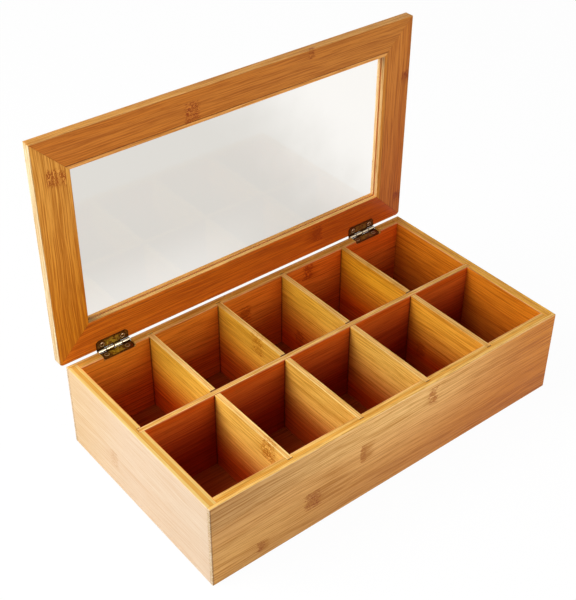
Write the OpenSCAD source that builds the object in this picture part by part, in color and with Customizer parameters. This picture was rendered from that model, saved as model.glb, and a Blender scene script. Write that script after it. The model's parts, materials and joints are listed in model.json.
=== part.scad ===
// Tea bag organizer box: a bamboo box with ten compartments and a hinged lid with a clear window.
// Frame: origin at the centre of the box's underside, +X to the right along the hinge side,
// +Y towards the hinges, +Z up. The lid is drawn open, standing upright on its hinges.

/* [Box] */
// outside length of the box, left to right
box_length = 360; // [300:1:420]
// outside depth of the box, front to back
box_depth = 196; // [170:1:240]
// height of the top of the walls above the underside
box_height = 79.5; // [65:0.5:100]
// thickness of the four walls
wall_t = 9; // [8.5:0.5:12]
// wood left at the ends of the front and back walls, outside the ends of the side walls
corner_lip = 3; // [2:0.5:4]
// radius of the eased outer edges of the walls
wall_edge_r = 1; // [0.5:0.25:2]

/* [Base] */
// thickness of the base panel
base_t = 5; // [3:0.5:8]
// width of the rebate in the walls that the base panel fills
base_rebate = 4; // [3:0.5:5]

/* [Dividers] */
// thickness of the dividers
divider_t = 5; // [4:0.5:7]
// distance from the top of the walls down to the top of the dividers
divider_drop = 0.5; // [0.5:0.5:6]
// depth of the grooves in the walls that hold the ends of the dividers
groove_depth = 4; // [2.5:0.5:5]
// gap between the end of a divider and the end of its groove
groove_gap = 0.4; // [0.2:0.1:0.9]
// play in the crossing of two dividers, on the hinge side
crossing_play = 0.4; // [0.2:0.1:0.9]

/* [Lid] */
// thickness of the lid frame
lid_t = 10; // [9:0.5:14]
// width of the four members of the lid frame
rail_w = 30; // [24:0.5:40]
// distance that the closed lid reaches past the box at each side
side_overhang = 3.5; // [0:0.5:8]
// distance that the closed lid reaches past the box at the front
front_overhang = 4; // [0:0.5:10]
// radius of the rounded outer edge of the lid at the sides and front
lid_edge_r = 3; // [1:0.5:4]
// radius of the rounded outer edge of the lid along the hinges
lid_hinge_edge_r = 5.5; // [3:0.5:7]
// radius of the lid's two corners beside the hinges, seen from above
lid_back_corner_r = 3.5; // [2:0.5:8]
// radius of the lid's two front corners, seen from above
lid_front_corner_r = 1.5; // [1:0.5:8]
// eased edge around the window on the lid's outer side
window_ease = 1; // [0.5:0.25:2]
// gap between the closed lid and the top of the walls
lid_gap = 0.3; // [0.2:0.1:0.6]

/* [Window] */
// thickness of the clear pane
pane_t = 1.5; // [1:0.25:2.5]
// play around the pane in its rebate
pane_play = 0.1; // [0.05:0.05:0.2]
// width of the beads that hold the pane in its rebate
bead_w = 3.7; // [2.5:0.1:6]
// thickness of the beads, from the lid's inner face to the pane
bead_t = 4; // [3:0.5:5]
// bevel along the edge of a bead that faces the window
bead_ease = 0.5; // [0.25:0.25:1.5]

/* [Hinges] */
// distance from the end of the box to the middle of a hinge
hinge_inset = 45; // [30:1:90]
// length of a hinge along its pin
hinge_length = 30; // [26:0.5:45]
// distance from the pin's axis to the far edge of a leaf
leaf_reach = 9.8; // [8.5:0.1:9.9]
// thickness of a leaf
leaf_t = 0.8; // [0.6:0.1:1]
// size of the clipped corners of a leaf
leaf_clip = 2; // [1:0.5:3]
// outer radius of the hinge barrel
barrel_r = 1.5; // [1.3:0.1:2]
// radius of the hinge pin
pin_r = 0.75; // [0.5:0.05:0.9]
// radial play of the pin in its barrel
pin_play = 0.04; // [0.02:0.01:0.08]
// length of pin that shows at each end of the barrel
pin_end = 0.4; // [0.2:0.1:0.8]
// gap between neighbouring knuckles of the barrel
knuckle_gap = 0.25; // [0.2:0.05:0.5]
// gap between the barrel and the wood that it turns past
barrel_gap = 0.3; // [0.3:0.05:0.6]
// distance from the back of the box to the pin's axis
axis_back = 1; // [0.8:0.1:1.2]
// gap between the ends of a hinge and the ends of its notch in the back wall
notch_play = 0.2; // [0.1:0.05:0.5]

/* [Screws] */
// distance between the two screws of a leaf
screw_spacing = 19.5; // [18:0.5:20]
// distance from the pin's axis to the screws
screw_reach = 5.4; // [4.8:0.1:6]
// radius of a screw's head
screw_head_r = 1.7; // [1.4:0.1:1.9]
// height of the domed part of the head above the leaf
screw_dome = 0.4; // [0.2:0.1:0.6]
// radius of a screw's shank
screw_r = 0.9; // [0.7:0.1:1.1]
// length of a screw below the leaf's outer surface
screw_length = 7; // [6:0.5:8]
// radial play of a screw in its holes
screw_play = 0.05; // [0.03:0.01:0.1]
// width of the arms of the cross in a screw's head
cross_w = 0.4; // [0.3:0.05:0.5]
// length of the arms of the cross from end to end
cross_l = 2; // [1.4:0.1:2.2]
// depth of the cross below the top of the head
cross_depth = 0.6; // [0.4:0.1:0.8]

/* [Hidden] */
$fn = 48;
// compartments along the box, and how far cutters reach past what they cut
columns = 5;
eps = 0.5;
// knuckles in a hinge: every other one belongs to each leaf
knuckles = 4;
wood = [0.86, 0.62, 0.33];
wood_edge = [0.9, 0.69, 0.4];
brass = [0.45, 0.38, 0.22];
clear = [0.9, 0.92, 0.92, 0.3];

// inner half sizes of the box
in_x = box_length / 2 - wall_t;
in_y = box_depth / 2 - wall_t;
// height of the top of the dividers and of their crossing
divider_top = box_height - divider_drop;
crossing_z = (base_t + divider_top) / 2;
// spacing of the cross dividers, which makes the compartments equal
pitch = (2 * in_x + divider_t) / columns;
// reach of the divider ends into their grooves
tongue = groove_depth - groove_gap;

// the pin's axis, and the distance from it to the faces that carry the leaves
seat = barrel_r + barrel_gap;
axis_y = box_depth / 2 + axis_back;
axis_z = box_height + lid_gap - seat;
hinge_x = box_length / 2 - hinge_inset;
knuckle_l = (hinge_length - (knuckles - 1) * knuckle_gap) / knuckles;
notch_floor = axis_z - seat;
// a leaf's plate starts here, clear of the other leaf's knuckles
plate_start = seat + barrel_gap;

// lid sizes; its own frame has +Y from the hinge edge to the front edge and its inner face at Z 0
lid_length = box_length + 2 * side_overhang;
lid_depth = box_depth + front_overhang;
lid_mid = lid_depth / 2;
pane_slot = pane_t + 2 * pane_play;
pane_length = lid_length - 2 * rail_w + 2 * (bead_w - pane_play);
pane_depth = lid_depth - 2 * rail_w + 2 * (bead_w - pane_play);

// a rectangle between two corners; its corners at y0 are rounded by r_low and those at y1 by r_high
module rounded_rect(x0, y0, x1, y1, r_low, r_high) {
    difference() {
        translate([x0, y0]) square([x1 - x0, y1 - y0]);
        corner_waste(x0, y0, 0, r_low);
        corner_waste(x1, y0, 90, r_low);
        corner_waste(x1, y1, 180, r_high);
        corner_waste(x0, y1, 270, r_high);
    }
}

// what a rounding of radius r takes off a convex corner; turn 0 is a lower left corner
module corner_waste(x, y, turn, r) {
    translate([x, y]) rotate(turn) difference() {
        translate([-eps, -eps]) square(r + eps);
        translate([r, r]) circle(r);
    }
}

// extrudes a profile drawn in (Y, Z) along X, centred
module along_x(length) {
    rotate([90, 0, 90]) linear_extrude(length, center = true) children();
}

// extrudes a profile drawn in (X, Z) along Y, centred
module along_y(length) {
    rotate([90, 0, 0]) linear_extrude(length, center = true) children();
}

// a box given by its two corners
module block(low, high) {
    translate(low) cube([high[0] - low[0], high[1] - low[1], high[2] - low[2]]);
}

// the outside of the box with its eased edges
module box_envelope() {
    hx = box_length / 2;
    hy = box_depth / 2;
    r = wall_edge_r;
    intersection() {
        along_x(box_length + 2 * eps) top_rounded(hy, box_height, r);
        along_y(box_depth + 2 * eps) top_rounded(hx, box_height, r);
        translate([0, 0, -eps]) linear_extrude(box_height + 2 * eps) rounded_rect(-hx, -hy, hx, hy, r, r);
    }
}

// a rectangle standing on the X axis with its two top corners rounded
module top_rounded(half, height, r) {
    difference() {
        translate([-half, 0]) square([2 * half, height]);
        corner_waste(half, height, 180, r);
        corner_waste(-half, height, 270, r);
    }
}

// the base panel's outline, which is also the rebate in the walls
module base_outline() {
    block([-in_x - base_rebate, -in_y - base_rebate, 0], [in_x + base_rebate, in_y + base_rebate, base_t]);
}

module base_panel() {
    color(wood) base_outline();
}

// grooves in the front and back walls for the cross dividers
module cross_grooves() {
    for (i = [1 : columns - 1]) {
        x = cross_x(i);
        block([x - divider_t / 2, -in_y - groove_depth, base_t],
            [x + divider_t / 2, in_y + groove_depth, box_height + eps]);
    }
}

// grooves in the side walls for the long divider
module long_grooves() {
    block([-in_x - groove_depth, -divider_t / 2, base_t],
        [in_x + groove_depth, divider_t / 2, box_height + eps]);
}

// X of the middle of cross divider i
function cross_x(i) = (i - columns / 2) * pitch;

// a front or back wall, lying along X; side is -1 at the front and 1 at the back
module long_wall(side) {
    outer = box_depth / 2;
    lip = outer - corner_lip;
    low = side < 0 ? -outer : in_y;
    high = side < 0 ? -in_y : outer;
    difference() {
        intersection() {
            box_envelope();
            block([-box_length / 2 - eps, low - (side < 0 ? eps : 0), -eps],
                [box_length / 2 + eps, high + (side < 0 ? 0 : eps), box_height + eps]);
        }
        for (end = [-1, 1]) scale_end(end) block([in_x, min(side * lip, 0), -eps],
            [box_length / 2 + eps, max(side * lip, 0), box_height + eps]);
        base_outline_cut();
        cross_grooves();
    }
}

// places a cutter drawn at the right-hand end at either end
module scale_end(end) {
    if (end > 0) children();
    else mirror([1, 0, 0]) children();
}

// the rebate, opened downwards
module base_outline_cut() {
    block([-in_x - base_rebate, -in_y - base_rebate, -eps], [in_x + base_rebate, in_y + base_rebate, base_t]);
}

// a side wall between the lips of the front and back walls; side is -1 at the left and 1 at the right
module side_wall(side) {
    lip = box_depth / 2 - corner_lip;
    low = side < 0 ? -box_length / 2 - eps : in_x;
    high = side < 0 ? -in_x : box_length / 2 + eps;
    difference() {
        intersection() {
            box_envelope();
            block([low, -lip, -eps], [high, lip, box_height + eps]);
        }
        base_outline_cut();
        long_grooves();
    }
}

module front_wall() {
    color(wood_edge) long_wall(-1);
}

module back_wall() {
    color(wood_edge) difference() {
        long_wall(1);
        for (x = [-hinge_x, hinge_x]) {
            block([x - hinge_length / 2 - notch_play, in_y - eps, notch_floor],
                [x + hinge_length / 2 + notch_play, box_depth / 2 + eps, box_height + eps]);
            at_box_leaf(x) screw_holes();
        }
    }
}

module left_wall() {
    color(wood) side_wall(-1);
}

module right_wall() {
    color(wood) side_wall(1);
}

// the divider along the box; its slots are open below and fit over the cross dividers
module long_divider() {
    color(wood) difference() {
        block([-in_x - tongue, -divider_t / 2, base_t], [in_x + tongue, divider_t / 2, divider_top]);
        for (i = [1 : columns - 1]) block([cross_x(i) - divider_t / 2, -divider_t, base_t - eps],
            [cross_x(i) + divider_t / 2, divider_t, crossing_z]);
    }
}

// a divider across the box; its slot is open above and takes the long divider
module cross_divider(i) {
    x = cross_x(i);
    color(wood_edge) difference() {
        block([x - divider_t / 2, -in_y - tongue, base_t], [x + divider_t / 2, in_y + tongue, divider_top]);
        block([x - divider_t, -divider_t / 2, crossing_z],
            [x + divider_t, divider_t / 2 + crossing_play, divider_top + eps]);
    }
}

// puts what is drawn in the lid's own frame in its open place, upright behind the box
module open_lid() {
    translate([0, axis_y + seat, axis_z + axis_back]) rotate([90, 0, 0]) children();
}

// the outside of the lid with its rounded edges and corners
module lid_envelope() {
    hx = lid_length / 2;
    intersection() {
        translate([0, lid_mid, 0]) along_x(lid_length + 2 * eps) difference() {
            translate([-lid_mid, -lid_t]) square([lid_depth, lid_t]);
            corner_waste(-lid_mid, -lid_t, 0, lid_hinge_edge_r);
            corner_waste(lid_mid, -lid_t, 90, lid_edge_r);
        }
        translate([0, lid_mid, 0]) along_y(lid_depth + 2 * eps) difference() {
            translate([-hx, -lid_t]) square([lid_length, lid_t]);
            corner_waste(-hx, -lid_t, 0, lid_edge_r);
            corner_waste(hx, -lid_t, 90, lid_edge_r);
        }
        translate([0, 0, -lid_t - eps]) linear_extrude(lid_t + 2 * eps)
            rounded_rect(-hx, 0, hx, lid_depth, lid_back_corner_r, lid_front_corner_r);
    }
}

// one mitred member; turn says which side it lies on, half_run is half the lid's size along it
// and out is the distance from the lid's middle to its outer edge
module lid_member(turn, half_run, out) {
    inner = out - rail_w;
    difference() {
        intersection() {
            lid_envelope();
            translate([0, lid_mid, -lid_t - eps]) rotate(turn) linear_extrude(lid_t + 2 * eps)
                polygon([[-half_run - eps, -out - eps], [half_run + eps, -out - eps],
                    [half_run - rail_w, -inner], [rail_w - half_run, -inner]]);
        }
        translate([0, lid_mid, 0]) rotate(turn) along_x(2 * half_run)
            polygon([[-inner - window_ease - eps, -lid_t - eps], [-inner + eps, -lid_t - eps],
                [-inner + eps, -lid_t + window_ease + eps]]);
        window_rebate();
    }
}

// the rebate for the pane and its beads, right round the window and open towards the box
module window_rebate() {
    hx = lid_length / 2 - rail_w + bead_w;
    hy = lid_mid - rail_w + bead_w;
    block([-hx, lid_mid - hy, -bead_t - pane_slot], [hx, lid_mid + hy, eps]);
}

module lid_back_rail() {
    color(wood) open_lid() difference() {
        lid_member(0, lid_length / 2, lid_mid);
        for (x = [-hinge_x, hinge_x]) translate([x, -axis_back, seat]) screw_holes();
    }
}

module lid_right_stile() {
    color(wood_edge) open_lid() lid_member(90, lid_mid, lid_length / 2);
}

module lid_front_rail() {
    color(wood) open_lid() lid_member(180, lid_length / 2, lid_mid);
}

module lid_left_stile() {
    color(wood_edge) open_lid() lid_member(270, lid_mid, lid_length / 2);
}

// one mitred bead, flush with the lid's inner face; it lies in the member drawn with the same numbers
module window_bead(turn, half_run, out) {
    inner = out - rail_w;
    run = half_run - rail_w;
    color(wood_edge) open_lid() translate([0, lid_mid, 0]) rotate(turn) difference() {
        translate([0, 0, -bead_t]) linear_extrude(bead_t) polygon([[-run - bead_w, -inner - bead_w],
            [run + bead_w, -inner - bead_w], [run, -inner], [-run, -inner]]);
        along_x(2 * half_run) polygon([[-inner - bead_ease - eps, eps], [-inner + eps, eps],
            [-inner + eps, -bead_ease - eps]]);
    }
}

module window_pane() {
    low = -bead_t - pane_play - pane_t;
    color(clear) open_lid() block([-pane_length / 2, lid_mid - pane_depth / 2, low],
        [pane_length / 2, lid_mid + pane_depth / 2, low + pane_t]);
}

// Hinge pieces are drawn with the pin's axis along X through the origin, the leaf running
// towards +Y and the wood that carries it below Z -seat.

// one leaf with its knuckles; both leaves of a hinge are alike, turned end for end
module hinge_leaf() {
    half = hinge_length / 2;
    difference() {
        union() {
            translate([0, 0, -seat]) linear_extrude(leaf_t) polygon([[-half, plate_start],
                [half, plate_start], [half, leaf_reach - leaf_clip], [half - leaf_clip, leaf_reach],
                [leaf_clip - half, leaf_reach], [-half, leaf_reach - leaf_clip]]);
            for (k = [0 : 2 : knuckles - 1])
                translate([knuckle_x(k), 0, 0]) along_x(knuckle_l) {
                    circle(barrel_r);
                    translate([0, -seat]) square([plate_start + eps, leaf_t]);
                }
        }
        along_x(hinge_length + 2 * eps) circle(pin_r + pin_play);
        for (x = screw_xs()) translate([x, screw_reach, -seat]) {
            translate([0, 0, -eps]) cylinder(h = leaf_t + 2 * eps, r = screw_r + screw_play);
            translate([0, 0, sink_z()]) cylinder(h = sink_depth(), r1 = screw_r + screw_play,
                r2 = screw_head_r + screw_play);
            translate([0, 0, leaf_t]) cylinder(h = eps, r = screw_head_r + screw_play);
        }
    }
}

// X of the middle of knuckle k, counted from the hinge's left-hand end
function knuckle_x(k) = -hinge_length / 2 + knuckle_l / 2 + k * (knuckle_l + knuckle_gap);

// X of the two screws of a leaf
function screw_xs() = [-screw_spacing / 2, screw_spacing / 2];

// depth of the conical sink in the leaf and the height at which it starts
function sink_depth() = screw_head_r - screw_r;
function sink_z() = leaf_t - sink_depth();

// holes in the wood for a leaf's screws
module screw_holes() {
    for (x = screw_xs()) translate([x, screw_reach, -seat]) {
        translate([0, 0, leaf_t - screw_length - screw_play])
            cylinder(h = screw_length + eps, r = screw_r + screw_play);
        if (sink_z() < 0) translate([0, 0, sink_z()])
            cylinder(h = sink_depth(), r1 = screw_r + screw_play, r2 = screw_head_r + screw_play);
    }
}

// the two screws of a leaf
module leaf_screws() {
    for (x = screw_xs()) translate([x, screw_reach, leaf_t - seat]) screw();
}

// a countersunk screw with a domed head and a cross; Z 0 is level with the leaf's surface
module screw() {
    dome_r = (screw_head_r * screw_head_r + screw_dome * screw_dome) / (2 * screw_dome);
    difference() {
        union() {
            rotate_extrude() intersection() {
                translate([0, screw_dome - dome_r]) circle(dome_r, $fn = 96);
                square([screw_head_r, screw_dome]);
            }
            translate([0, 0, -sink_depth()]) cylinder(h = sink_depth(), r1 = screw_r, r2 = screw_head_r);
            translate([0, 0, -screw_length + screw_r])
                cylinder(h = screw_length - screw_r - sink_depth(), r = screw_r);
            translate([0, 0, -screw_length]) cylinder(h = screw_r, r1 = screw_r / 4, r2 = screw_r);
        }
        for (turn = [0, 90]) rotate(turn) translate([-cross_l / 2, -cross_w / 2, screw_dome - cross_depth])
            cube([cross_l, cross_w, cross_depth + eps]);
    }
}

// places hinge pieces on the lid's inner face
module at_lid_leaf(x) {
    translate([x, axis_y, axis_z]) rotate([90, 0, 0]) children();
}

// places hinge pieces in the notch of the back wall
module at_box_leaf(x) {
    translate([x, axis_y, axis_z]) rotate([0, 0, 180]) children();
}

// a hinge's pin with its axis along X
module hinge_pin(x) {
    color(brass) translate([x, axis_y, axis_z]) along_x(hinge_length + 2 * pin_end) circle(pin_r);
}

base_panel();
front_wall();
back_wall();
left_wall();
right_wall();
long_divider();
cross_divider(1);  // cross_divider_1
cross_divider(2);  // cross_divider_2
cross_divider(3);  // cross_divider_3
cross_divider(4);  // cross_divider_4
lid_front_rail();
lid_back_rail();
lid_left_stile();
lid_right_stile();
window_pane();
window_bead(180, lid_length / 2, lid_mid);  // window_bead_front
window_bead(0, lid_length / 2, lid_mid);  // window_bead_back
window_bead(270, lid_mid, lid_length / 2);  // window_bead_left
window_bead(90, lid_mid, lid_length / 2);  // window_bead_right
color(brass) at_box_leaf(-hinge_x) hinge_leaf();  // hinge_left_box_leaf
color(brass) at_lid_leaf(-hinge_x) hinge_leaf();  // hinge_left_lid_leaf
hinge_pin(-hinge_x);  // hinge_left_pin
color(brass) at_box_leaf(-hinge_x) leaf_screws();  // hinge_left_box_screws
color(brass) at_lid_leaf(-hinge_x) leaf_screws();  // hinge_left_lid_screws
color(brass) at_box_leaf(hinge_x) hinge_leaf();  // hinge_right_box_leaf
color(brass) at_lid_leaf(hinge_x) hinge_leaf();  // hinge_right_lid_leaf
hinge_pin(hinge_x);  // hinge_right_pin
color(brass) at_box_leaf(hinge_x) leaf_screws();  // hinge_right_box_screws
color(brass) at_lid_leaf(hinge_x) leaf_screws();  // hinge_right_lid_screws
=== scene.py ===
"""Looks of a bamboo tea bag organizer box with ten compartments and a hinged window lid.

Every board, bead and pane keeps the solid of its node, with its arrises eased as a maker's sanding
block leaves them. The hinge leaves are cut from flat sheet and rolled round their pins. Sizes and
places in the classes are in millimetres, in the frame's own axes at rest, and meshes are in metres.
"""
import json
import logging
import math
from dataclasses import dataclass, field
from enum import Enum
from typing import Any, Optional, Sequence, Union

import bmesh
import bpy
from mathutils import Euler, Matrix, Vector

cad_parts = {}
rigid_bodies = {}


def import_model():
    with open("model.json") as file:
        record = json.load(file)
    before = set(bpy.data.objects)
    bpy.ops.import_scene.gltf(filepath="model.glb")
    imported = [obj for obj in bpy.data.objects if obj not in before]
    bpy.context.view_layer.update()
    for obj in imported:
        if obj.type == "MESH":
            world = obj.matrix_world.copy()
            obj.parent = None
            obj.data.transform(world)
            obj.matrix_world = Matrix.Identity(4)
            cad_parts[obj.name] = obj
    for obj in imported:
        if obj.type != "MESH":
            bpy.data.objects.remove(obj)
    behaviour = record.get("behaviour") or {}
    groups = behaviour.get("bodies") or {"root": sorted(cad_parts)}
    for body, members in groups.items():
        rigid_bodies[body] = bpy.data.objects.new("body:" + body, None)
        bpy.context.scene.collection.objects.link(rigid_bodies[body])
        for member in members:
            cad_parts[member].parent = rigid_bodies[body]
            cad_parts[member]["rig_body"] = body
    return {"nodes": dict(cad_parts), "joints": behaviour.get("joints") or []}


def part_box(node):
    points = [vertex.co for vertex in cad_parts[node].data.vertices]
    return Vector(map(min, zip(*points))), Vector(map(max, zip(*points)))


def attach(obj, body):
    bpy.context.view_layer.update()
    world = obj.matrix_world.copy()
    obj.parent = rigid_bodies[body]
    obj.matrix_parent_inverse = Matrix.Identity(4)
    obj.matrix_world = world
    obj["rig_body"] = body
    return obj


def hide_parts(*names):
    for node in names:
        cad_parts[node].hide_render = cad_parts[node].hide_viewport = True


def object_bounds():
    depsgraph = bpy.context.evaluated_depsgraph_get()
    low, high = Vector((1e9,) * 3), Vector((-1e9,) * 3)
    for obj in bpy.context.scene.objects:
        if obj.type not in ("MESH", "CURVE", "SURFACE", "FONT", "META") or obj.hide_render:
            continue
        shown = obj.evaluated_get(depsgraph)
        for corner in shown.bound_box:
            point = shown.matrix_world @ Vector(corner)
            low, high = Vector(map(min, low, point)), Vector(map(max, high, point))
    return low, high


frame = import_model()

CAD_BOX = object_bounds()
MM = 0.001
LOG = logging.getLogger("tea_box")

Colour = tuple[float, float, float]
Point = tuple[float, float, float]
Span = tuple[float, float]

MIDDLE = 0.5  # the even level of a noise, a chance or a fraction
WHITE: Colour = (1.0, 1.0, 1.0)


class Grain(Enum):
    """Which axes run along a board's fibres, across its strips and through its plies."""

    ALONG_X = "XZY"
    ALONG_Y = "YZX"
    UPRIGHT = "ZXY"
    FLAT = "XYZ"


class Side(Enum):
    """The six sides of a board: the axis they face, as a place in its grain, and its end."""

    END_LOW = (0, 0)
    END_HIGH = (0, 1)
    EDGE_LOW = (1, 0)
    EDGE_HIGH = (1, 1)
    FACE_LOW = (2, 0)
    FACE_HIGH = (2, 1)


class Signal:
    """A shader socket that takes part in Python's sums, each of which adds a Math node."""

    def __init__(self, bench: "Bench", socket: bpy.types.NodeSocket) -> None:
        """Wraps a socket of the bench's node tree."""
        self.bench = bench
        self.socket = socket

    def sum(self, operation: str, *terms: "Term") -> "Signal":
        """Adds one Math node with its inputs in order."""
        return self.bench.node("ShaderNodeMath", {"operation": operation}, dict(enumerate(terms)))

    def __add__(self, other: "Term") -> "Signal":
        """Sum."""
        return self.sum("ADD", self, other)

    __radd__ = __add__

    def __sub__(self, other: "Term") -> "Signal":
        """Difference."""
        return self.sum("SUBTRACT", self, other)

    def __rsub__(self, other: "Term") -> "Signal":
        """Difference with the socket last."""
        return self.sum("SUBTRACT", other, self)

    def __mul__(self, other: "Term") -> "Signal":
        """Product."""
        return self.sum("MULTIPLY", self, other)

    __rmul__ = __mul__

    def __truediv__(self, other: "Term") -> "Signal":
        """Quotient."""
        return self.sum("DIVIDE", self, other)

    def __abs__(self) -> "Signal":
        """Size without its sign."""
        return self.sum("ABSOLUTE", self)

    def floor(self) -> "Signal":
        """The whole number below."""
        return self.sum("FLOOR", self)

    def fraction(self) -> "Signal":
        """What is left above the whole number below."""
        return self.sum("FRACT", self)

    def least(self, other: "Term") -> "Signal":
        """The lesser of two."""
        return self.sum("MINIMUM", self, other)

    def most(self, other: "Term") -> "Signal":
        """The greater of two."""
        return self.sum("MAXIMUM", self, other)

    def rise(self, start: float, end: float) -> "Signal":
        """Goes smoothly from 0 at start to 1 at end."""
        return self.bench.node("ShaderNodeMapRange", {"interpolation_type": "SMOOTHSTEP"},
                               {0: self, 1: start, 2: end})

    def fall(self, start: float, end: float) -> "Signal":
        """Goes smoothly from 1 at start to 0 at end."""
        return 1 - self.rise(start, end)

    def within(self, rise: Span, fall: Span) -> "Signal":
        """Is 1 between the end of one span and the start of the other, and goes smoothly to 0 outside."""
        return self.rise(*rise) * self.fall(*fall)

    def bounded(self) -> "Signal":
        """Kept between 0 and 1."""
        return self.most(0.0).least(1.0)


Term = Union[Signal, float]


class Bench:
    """The node tree of a material or world, and the one way that nodes are added to it."""

    mix_colours: tuple[int, int] = (6, 7)  # the Mix node's colour inputs, which share their names
    mix_result: int = 2  # and its colour output

    def __init__(self, owner: Union[bpy.types.Material, bpy.types.World]) -> None:
        """Empties the owner's node tree.

        Args:
            owner: the material or world that the nodes are for.
        """
        owner.use_nodes = True
        is_world = isinstance(owner, bpy.types.World)
        self.output = "ShaderNodeOutputWorld" if is_world else "ShaderNodeOutputMaterial"
        self.tree = owner.node_tree
        self.tree.nodes.clear()

    def raw(self, kind: str, settings: Optional[dict[str, Any]] = None,
            inputs: Optional[dict[Union[str, int], Any]] = None) -> bpy.types.Node:
        """Adds a node.

        Args:
            kind: the node's type.
            settings: its properties, which are set first.
            inputs: values or links of its sockets, by name or place.

        Returns:
            The new node.
        """
        made = self.tree.nodes.new(kind)
        for name, value in (settings or {}).items():
            setattr(made, name, value)
        for place, value in (inputs or {}).items():
            socket = made.inputs[place]
            if isinstance(value, Signal):
                self.tree.links.new(value.socket, socket)
            elif isinstance(value, bpy.types.NodeSocket):
                self.tree.links.new(value, socket)
            elif socket.type == "RGBA":
                socket.default_value = (*value, 1.0)
            else:
                socket.default_value = value
        return made

    def node(self, kind: str, settings: Optional[dict[str, Any]] = None,
             inputs: Optional[dict[Union[str, int], Any]] = None, output: Union[str, int] = 0) -> Signal:
        """Adds a node as raw does, and wraps the output that is wanted."""
        return Signal(self, self.raw(kind, settings, inputs).outputs[output])

    def mix(self, share: Term, first: Any, second: Any, blend: str = "MIX") -> Signal:
        """Mixes two colours, of which the share is how much of the second is taken."""
        inputs = {0: share, **dict(zip(self.mix_colours, (first, second)))}
        return self.node("ShaderNodeMix", {"data_type": "RGBA", "blend_type": blend}, inputs, self.mix_result)

    def vector(self, x: Term, y: Term, z: Term) -> Signal:
        """Joins three numbers into a vector."""
        return self.node("ShaderNodeCombineXYZ", inputs={0: x, 1: y, 2: z})

    def rest_place(self) -> tuple[Signal, Signal, Signal]:
        """Finds the rest-pose place of a point in the frame's axes.

        Returns:
            The three parts of the place, in millimetres.
        """
        place = self.node("ShaderNodeTexCoord", output="Object")
        scaled = self.node("ShaderNodeVectorMath", {"operation": "SCALE"}, {0: place, "Scale": 1 / MM})
        parts = self.raw("ShaderNodeSeparateXYZ", inputs={0: scaled})
        return tuple(Signal(self, output) for output in parts.outputs)

    def noise(self, vector: Signal, scale: float = 1.0, detail: float = 2.0, roughness: float = 0.5,
              distortion: float = 0.0) -> Signal:
        """Adds a noise.

        Args:
            vector: the place where it is read.
            scale: how many swells it has to a unit of that place.
            detail: how many finer layers it has.
            roughness: how strong each finer layer is beside the one before.
            distortion: how much it is bent.

        Returns:
            The noise, from about 0 to 1.
        """
        return self.node("ShaderNodeTexNoise", inputs={
            "Vector": vector, "Scale": scale, "Detail": detail, "Roughness": roughness,
            "Distortion": distortion})

    def waves(self, place: Sequence[Signal], counts: Sequence[float], seed: float = 0.0) -> Signal:
        """Stretches places by a noise's waves per millimetre, with a seed as third where there are two."""
        return self.vector(*([spot * count for spot, count in zip(place, counts)] + [seed])[:3])

    def finish(self, shader: Signal) -> None:
        """Sends a shader to the material's or world's output."""
        self.raw(self.output, inputs={"Surface": shader})


@dataclass(frozen=True)
class Culm:
    """A node of the bamboo stem that shows in one strip: where it lies and how far it reaches."""

    along: float
    across: float
    half_length: float = 6.0
    half_width: float = 9.5
    tail: float = 0.0
    strength: float = 1.0
    stain: float = 1.0
    side: Optional[Side] = None


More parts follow.
